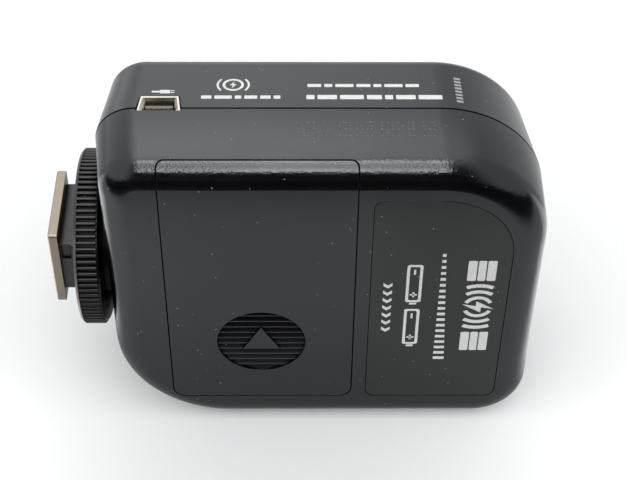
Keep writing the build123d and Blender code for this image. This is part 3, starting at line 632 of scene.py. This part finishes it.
def mark(name, shapes, ink, node, origin, across, up, body="case"):
    """Printed shapes on a CAD node. A shape is an outline, or an outline and its holes, in mm.

    a runs along across and b along up from origin; the print faces across x up.
    """
    verts, faces = [], []
    for shape in shapes:
        corners, plate = lay_shape(shape, skin_of(node), origin, across, up)
        faces += [[len(verts) + i for i in face] for face in plate]
        verts += corners
    mesh = bpy.data.meshes.new(name)
    mesh.from_pydata([tuple(v) for v in verts], [], faces)
    mesh.update()
    made = bpy.data.objects.new(name, mesh)
    bpy.context.scene.collection.objects.link(made)
    made.data.materials.append(ink)
    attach(made, body)
    return made


# The label panel: a runs to the reader's right from the middle, b up from the lower edge.
label_low, label_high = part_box("label_plate")
label_at = Vector((0, label_high.y, label_low.z))


def on_label(name, shapes):
    mark(name, shapes, label_ink, "label_plate", label_at, -X, Z)


on_label("mark_emblem", emblem(0.6, 20.8, half_tall=2.7, reach=12.9))

BAR_COUNT, BAR_FIRST, BAR_PITCH, BAR_WIDE, BAR_LOW = 19, -14.2, 1.65, 0.75, 13.1
bars = []
for i in range(BAR_COUNT):
    left = BAR_FIRST + BAR_PITCH * i
    tall = 0.7 + 1.5 * i / (BAR_COUNT - 1)
    bars.append(rounded_bar(left, left + BAR_WIDE, BAR_LOW, BAR_LOW + tall, 0.12))
on_label("mark_signal_bars", bars)
on_label("mark_cells", cell_outline(-11.2, 6.7) + cell_outline(1.2, 6.7))
on_label("mark_chevrons", [chevron(-6.2 + 2.1 * i, 2.4, 0.8, 0.7, 0.85) for i in range(7)])

# The +X edge of the case: a is the height above the foot, b runs towards the operator.
side_at = Vector((rear_high.x, 0, 0))


def on_side(name, shapes, ink=white_ink, node="rear_cover"):
    mark(name, shapes, ink, node, side_at, Z, -Y)


cord, grip = rounded_bar(21.0, 22.6, 2.5, 3.05, 0.1), rounded_bar(22.5, 24.4, 2.2, 3.35, 0.2)
prongs = [rounded_bar(24.5, 25.2, low, low + 0.25, 0.05) for low in (2.35, 2.95)]
on_side("mark_port", [cord, grip] + prongs)

power = (36.0, 5.1)
waves = [arc_band(*power, 2.9, 0.4, -40, 40), arc_band(*power, 2.9, 0.4, 140, 220)]
on_side("mark_power", [ring(*power, 2.0, 1.5), bolt(*power, 2.4)] + waves)
on_side("mark_line_short", dashes(30.2, 44.8, 0.45, 1.5, (1.9, 3.2, 1.2, 2.4)))
on_side("mark_line_upper", dashes(49.8, 70.6, 4.4, 5.4, (2.6, 1.5, 3.4)))
on_side("mark_line_lower", dashes(49.6, 75.2, 0.3, 1.7, (1.5, 3.6, 4.4, 2.8)))
column = [rounded_bar(77.3, 78.6, -0.2 + 1.1 * i, 0.45 + 1.1 * i, 0.12) for i in range(8)]
on_side("mark_column", column, worn_ink)

# Stamped dots: groups of two columns of five, with about one dot in four left out.
DOT_GROUPS, DOT_COLUMNS, DOT_ROWS, DOT_RADIUS = 14, 2, 5, 0.24
GROUP_PITCH, COLUMN_PITCH, ROW_PITCH = 1.9, 0.8, 0.85
stamped = []
for group in range(DOT_GROUPS):
    for column in range(DOT_COLUMNS):
        for row in range(DOT_ROWS):
            if (3 * group + 2 * column + group * row) % 4:
                a = 47.2 + GROUP_PITCH * group + COLUMN_PITCH * column
                stamped.append(circle(a, -6.4 - ROW_PITCH * row, DOT_RADIUS, 8))
on_side("mark_stamped_dots", stamped, faint_ink, "front_cover")

minus = rounded_bar(-1.3, 1.3, -0.22, 0.22, 0.1)
key_icons = {
    "mode": [rounded_bar(-1.5, 1.5, b - 0.2, b + 0.2, 0.15) for b in (-0.8, 0.0, 0.8)],
    "select": [ring(0, 0, 1.2, 0.8)],
    "plus": [
        minus, rounded_bar(-0.22, 0.22, 0.24, 1.3, 0.1), rounded_bar(-0.22, 0.22, -1.3, -0.24, 0.1),
    ],
    "minus": [minus],
    "light": [circle(0, 0, 0.6)]
    + [arc_band(0, 0, 1.15, 0.5, t - 9, t + 9, 4) for t in range(0, 360, 45)],
    "test": [bolt(0, 0, 2.8)],
}
for key, shapes in key_icons.items():
    node = "key_" + key
    low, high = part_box(node)
    middle = (low + high) / 2
    key_at = Vector((middle.x, low.y, middle.z))
    mark("icon_" + key, shapes, key_ink, node, key_at, X, Z, body=node)


# ---------------------------------------------------------------- display read-out

# a runs to the right from the display's middle, b up from its lower edge.
lcd_low, lcd_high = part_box("lcd_glass")
lcd_at = Vector(((lcd_low.x + lcd_high.x) / 2, lcd_low.y, lcd_low.z))


def on_lcd(name, shapes):
    mark(name, shapes, lcd_ink, "lcd_glass", lcd_at, X, Z)


SEGMENTS = {1: "bc", 2: "abdeg", 3: "abcdg", 4: "bcfg", 8: "abcdefg"}


def digit(a, b, tall, value):
    """Seven-segment figure with its lower left corner at a point."""
    wide, thick = 0.56 * tall, 0.15 * tall
    half = tall / 2
    bars = {
        "a": (0, wide, tall - thick, tall),
        "b": (wide - thick, wide, half, tall),
        "c": (wide - thick, wide, 0, half),
        "d": (0, wide, 0, thick),
        "e": (0, thick, 0, half),
        "f": (0, thick, half, tall),
        "g": (0, wide, half - thick / 2, half + thick / 2),
    }
    inset = 0.1 * thick
    return [
        rounded_bar(a + a0 + inset, a + a1 - inset, b + b0 + inset, b + b1 - inset, 0.3 * thick, 2)
        for a0, a1, b0, b1 in (bars[key] for key in SEGMENTS[value])
    ]


# One row per lamp group, from the top: its number, the figure after 1., and steps of its bar.
GROUP_ROWS = ((3, 1, 5), (2, 4, 8), (1, 8, 3))
TOP_ROW, LCD_ROW_PITCH, FIGURE_TALL = 17.6, 6.6, 4.2
for row, (group, value, level) in enumerate(GROUP_ROWS):
    low = TOP_ROW - LCD_ROW_PITCH * row
    shapes = [ring(-15.6, low + 2.1, 1.9, 1.5)]
    shapes += digit(-16.3, low + 0.8, 2.5, group)
    shapes += digit(-11.6, low, FIGURE_TALL, 1)
    shapes += [rounded_bar(-8.6, -8.1, low, low + 0.5, 0.1)]
    shapes += digit(-7.6, low, FIGURE_TALL, value)
    for i in range(level):
        left = -3.6 + 1.5 * i
        shapes.append(rounded_bar(left, left + 1.0, low + 0.4, low + 1.6 + 0.28 * i, 0.15))
    on_lcd(f"lcd_row_{row + 1}", shapes)

SIGNAL_LEFT, SIGNAL_PITCH, SIGNAL_WIDE, SIGNAL_LOW = 12.2, 1.3, 0.8, 23.4
signal = []
for i in range(4):
    left = SIGNAL_LEFT + SIGNAL_PITCH * i
    signal.append(rounded_bar(left, left + SIGNAL_WIDE, SIGNAL_LOW, 24.4 + 0.6 * i, 0.15))
on_lcd("lcd_signal", signal)

battery = [rounded_bar(-17.4, -12.2, 23.5, 25.9, 0.4), rounded_bar(-17.0, -12.6, 23.9, 25.5, 0.2)]
terminal = rounded_bar(-12.1, -11.6, 24.2, 25.2, 0.1)
charge = [rounded_bar(-16.7 + 1.4 * i, -15.7 + 1.4 * i, 24.2, 25.2, 0.1) for i in range(3)]
on_lcd("lcd_battery", [battery, terminal] + charge)


# ---------------------------------------------------------------- floor

# The object lies on its -X edge in the photograph, so the floor is the plane at its lowest x.
# Rays that aren't the camera's find it dark past dark_edge, on the photographer's side, a little
# dimmer towards the top end of the case, and dimmer close to the +Y face, where the case shades it.
middle_z = (cad_low.z + cad_high.z) / 2
bright_edge, dark_edge = cad_high.y + 60 * MM, cad_high.y + 82 * MM
fade_start, fade_end, fade_share = middle_z + 8 * MM, cad_high.z - 10 * MM, 0.22
shade_start, shade_end, shade_share = cad_high.y + 42 * MM, cad_high.y + 2 * MM, 0.3
# The faint pool of shade that the camera sees round the object.
pool = Vector((cad_low.x, cad_high.y + 25 * MM, middle_z))
pool_squeeze, pool_near, pool_far, pool_share = 1.35, 35 * MM, 95 * MM, 0.17
# Extra brightness beyond both ends, which only reflections see: it lights the rims of the case.
glow_strength, glow_near, glow_far = 1.6, 4 * MM, 16 * MM
glow_front = (cad_high.y + 12 * MM, cad_high.y - 12 * MM)
glow_back = (cad_low.y - 40 * MM, cad_low.y - 10 * MM)
# The floor is hidden from cameras that don't stand over it, as in the upright views.
OVERHEAD_SHARE = 0.68
FLOOR_HALF = 2.5


def camera_is_overhead(s):
    """1 where the camera looks down on the floor."""
    conversion = {"vector_type": "POINT", "convert_from": "CAMERA", "convert_to": "WORLD"}
    eye = s.add("VectorTransform", conversion)
    eye.inputs[0].default_value = (0, 0, 0)
    from_middle = s.vector("SUBTRACT", eye.outputs[0], tuple((cad_low + cad_high) / 2))
    unit = s.vector("NORMALIZE", from_middle)
    return s.math("GREATER_THAN", s.split(unit)[0], OVERHEAD_SHARE)


def floor_material():
    """White paper seen from above only; painted shadow round the object, painted shade in reflections.
    """
    made, s = new_material("floor_paper")
    at = s.place()
    ray = s.add("LightPath")
    _, toward, along = s.split(at)

    from_pool = s.vector("SUBTRACT", at, tuple(pool))
    away = s.vector("LENGTH", s.vector("MULTIPLY", from_pool, (1.0, 1.0, pool_squeeze)))
    fibre = s.times(s.noise(at, 0.8, 3.0), 0.02)
    # Painted shadow: the paper darkens in a soft pool round the object; the fibre is the paper's own.
    fibre_and_painted_shadow = s.math("ADD", fibre, s.step(away, pool_near, pool_far, pool_share, 0.0))
    paper = s.mix(fibre_and_painted_shadow, (0.97, 0.97, 0.97), (0.0, 0.0, 0.0))
    # Painted shade that only reflections see: dark past dark_edge, dimmer to the top end and by the +Y
    # face.
    dark = s.step(toward, bright_edge, dark_edge)
    dark = s.math("MAXIMUM", dark, s.step(along, fade_start, fade_end, 0.0, fade_share))
    dark = s.math("MAXIMUM", dark, s.step(toward, shade_start, shade_end, 0.0, shade_share))
    unseen = s.math("SUBTRACT", 1.0, ray.outputs["Is Camera Ray"])
    white = s.add("BsdfDiffuse", Color=s.mix(s.times(dark, unseen), paper, (0.02, 0.02, 0.02)))

    beside = s.math(
        "MAXIMUM",
        s.step(along, cad_low.z - glow_near, cad_low.z - glow_far),
        s.step(along, cad_high.z + glow_near, cad_high.z + glow_far),
    )
    for side in (glow_front, glow_back):
        beside = s.times(beside, s.step(toward, *side))
    glow = s.add("Emission", Color=(1.0, 1.0, 1.0))
    strength = s.times(s.times(beside, glow_strength), ray.outputs["Is Glossy Ray"])
    s.feed(glow.inputs["Strength"], strength)
    lit = s.add("AddShader")
    s.feed(lit.inputs[0], white.outputs[0])
    s.feed(lit.inputs[1], glow.outputs[0])

    front = s.math("SUBTRACT", 1.0, s.add("NewGeometry").outputs["Backfacing"])
    shown = s.add("MixShader")
    s.feed(shown.inputs[0], s.times(camera_is_overhead(s), front))
    s.feed(shown.inputs[1], s.add("BsdfTransparent").outputs[0])
    s.feed(shown.inputs[2], lit.outputs[0])
    made.cycles.emission_sampling = "NONE"
    s.add("OutputMaterial", Surface=shown.outputs[0])
    return made


h = FLOOR_HALF
floor_mesh = bpy.data.meshes.new("floor")
floor_mesh.from_pydata([(0, -h, -h), (0, h, -h), (0, h, h), (0, -h, h)], [], [(0, 1, 2, 3)])
floor = bpy.data.objects.new("floor", floor_mesh)
floor.location = (cad_low.x, 0, 0)
bpy.context.scene.collection.objects.link(floor)
floor.data.materials.append(floor_material())


# ---------------------------------------------------------------- studio

# What reflections see: brightness by angle round the Z axis, in degrees from straight over the
# floor (+X) towards the photographer (+Y), who stands on the dark side.
AROUND = (
    (-180, 0.9), (-140, 1.0), (-95, 1.1), (-62, 1.6), (-52, 1.8), (-46, 2.1), (-34, 3.2), (0, 3.5),
    (20, 2.0), (45, 0.3), (62, 0.03), (87, 0.03), (97, 0.6), (120, 0.9),
)
# The softbox, by angle and by z of the direction: dimmer along its middle, brighter at its edges.
BOX_START, BOX_END = 17.0, 62.0
BOX_LOW, BOX_HIGH = -0.125, 0.15
BOX_MIDDLE_LEVEL, BOX_EDGE_LEVEL = 5.0, 9.5
BOX_EDGE_FROM, BOX_EDGE_TO = 8.0, 18.0
START_BLUR, END_BLUR, LOW_BLUR, HIGH_BLUR = 1.5, 3.0, 0.012, 0.02
# Towards the foot end and the top end of the case: z of the direction where each starts and is
# full, and its level.
FOOT_SIDE, TOP_SIDE = (-0.15, -0.5, 1.25), (0.3, 0.65, 0.9)
# Slow fall of the surroundings to each side: z where it starts and ends, level at both.
FALLS = ((-0.03, 0.2, 1.0, 0.56), (-0.3, -0.12, 0.7, 1.0))
# Light on matt surfaces, from the far side and from the photographer's side.
BACK_LIGHT, FRONT_LIGHT, LIGHT_TURN = 0.66, 1.72, 15.0


def around_level(s, degrees):
    """Brightness by angle, as a ramp."""
    most = max(level for angle, level in AROUND)
    turn = s.math("ADD", s.math("DIVIDE", degrees, 360.0), 0.5)
    ramp = s.add("ValToRGB", Fac=turn)
    band = ramp.color_ramp
    while len(band.elements) < len(AROUND):
        band.elements.new(0.5)
    for element, (angle, level) in zip(band.elements, AROUND):
        element.position = (angle + 180) / 360
        element.color = (level / most, level / most, level / most, 1)
    return s.times(ramp.outputs[0], most)


def softbox(s, degrees, z):
    """Where the softbox is, from 0 to 1, and its brightness."""
    after_start = s.step(degrees, BOX_START - START_BLUR, BOX_START + START_BLUR)
    before_end = s.step(degrees, BOX_END + END_BLUR, BOX_END - END_BLUR)
    inside = s.times(after_start, before_end)
    inside = s.times(inside, s.step(z, BOX_LOW - LOW_BLUR, BOX_LOW + LOW_BLUR))
    inside = s.times(inside, s.step(z, BOX_HIGH + HIGH_BLUR, BOX_HIGH - HIGH_BLUR))
    off_middle = s.math("ABSOLUTE", s.math("SUBTRACT", degrees, (BOX_START + BOX_END) / 2))
    level = s.step(off_middle, BOX_EDGE_FROM, BOX_EDGE_TO, BOX_MIDDLE_LEVEL, BOX_EDGE_LEVEL)
    return inside, level


def studio_world():
    """White for the camera, soft light for matt surfaces, softbox and dark side for reflections."""
    world = bpy.data.worlds.new("studio")
    bpy.context.scene.world = world
    world.use_nodes = True
    world.cycles.sampling_method = "NONE"
    s = Shader(world.node_tree)
    ray = s.add("LightPath")
    x, y, z = s.split(s.add("TexCoord").outputs["Generated"])
    degrees = s.math("DEGREES", s.math("ARCTAN2", y, x))
    glossy = around_level(s, degrees)
    for fall in FALLS:
        glossy = s.times(glossy, s.step(z, *fall))
    inside, box_level = softbox(s, degrees, z)
    glossy = s.blend(inside, glossy, box_level)
    for start, full, level in (FOOT_SIDE, TOP_SIDE):
        glossy = s.blend(s.step(z, start, full), glossy, level)
    soft = s.step(degrees, -LIGHT_TURN, LIGHT_TURN, BACK_LIGHT, FRONT_LIGHT)
    strength = s.blend(ray.outputs["Is Glossy Ray"], soft, glossy)
    strength = s.blend(ray.outputs["Is Camera Ray"], strength, 1.0)
    light = s.add("Background", Color=(0.985, 0.995, 1.0), Strength=strength)
    s.add("OutputWorld", Surface=light.outputs[0])


studio_world()


# ---------------------------------------------------------------- camera

# The photograph's viewpoint. The camera starts over the +X face, with the picture's right along Z
# and its up along -Y, and is then turned about X, Y and Z, in degrees.
TURNS = (-0.0209, 0.7164, 43.9908)
# Where the lens stands from the object's middle: along the picture's right, its up, and back.
STAND_OFF = Vector((4.256, -0.529, 309.409)) * MM
LENS, SENSOR_WIDTH = 88.757, 36.0

camera_data = bpy.data.cameras.new("camera")
camera_data.lens = LENS
camera_data.sensor_width = SENSOR_WIDTH
camera_data.clip_start = 0.01
camera_data.clip_end = 10.0
camera = bpy.data.objects.new("camera", camera_data)
bpy.context.scene.collection.objects.link(camera)
start = Matrix((Z, -Y, X)).transposed()
turned = Euler([math.radians(angle) for angle in TURNS]).to_matrix() @ start
eye = (cad_low + cad_high) / 2 + turned @ STAND_OFF
camera.matrix_world = Matrix.Translation(eye) @ turned.to_4x4()
bpy.context.scene.camera = camera
bpy.context.scene.view_settings.view_transform = "Standard"
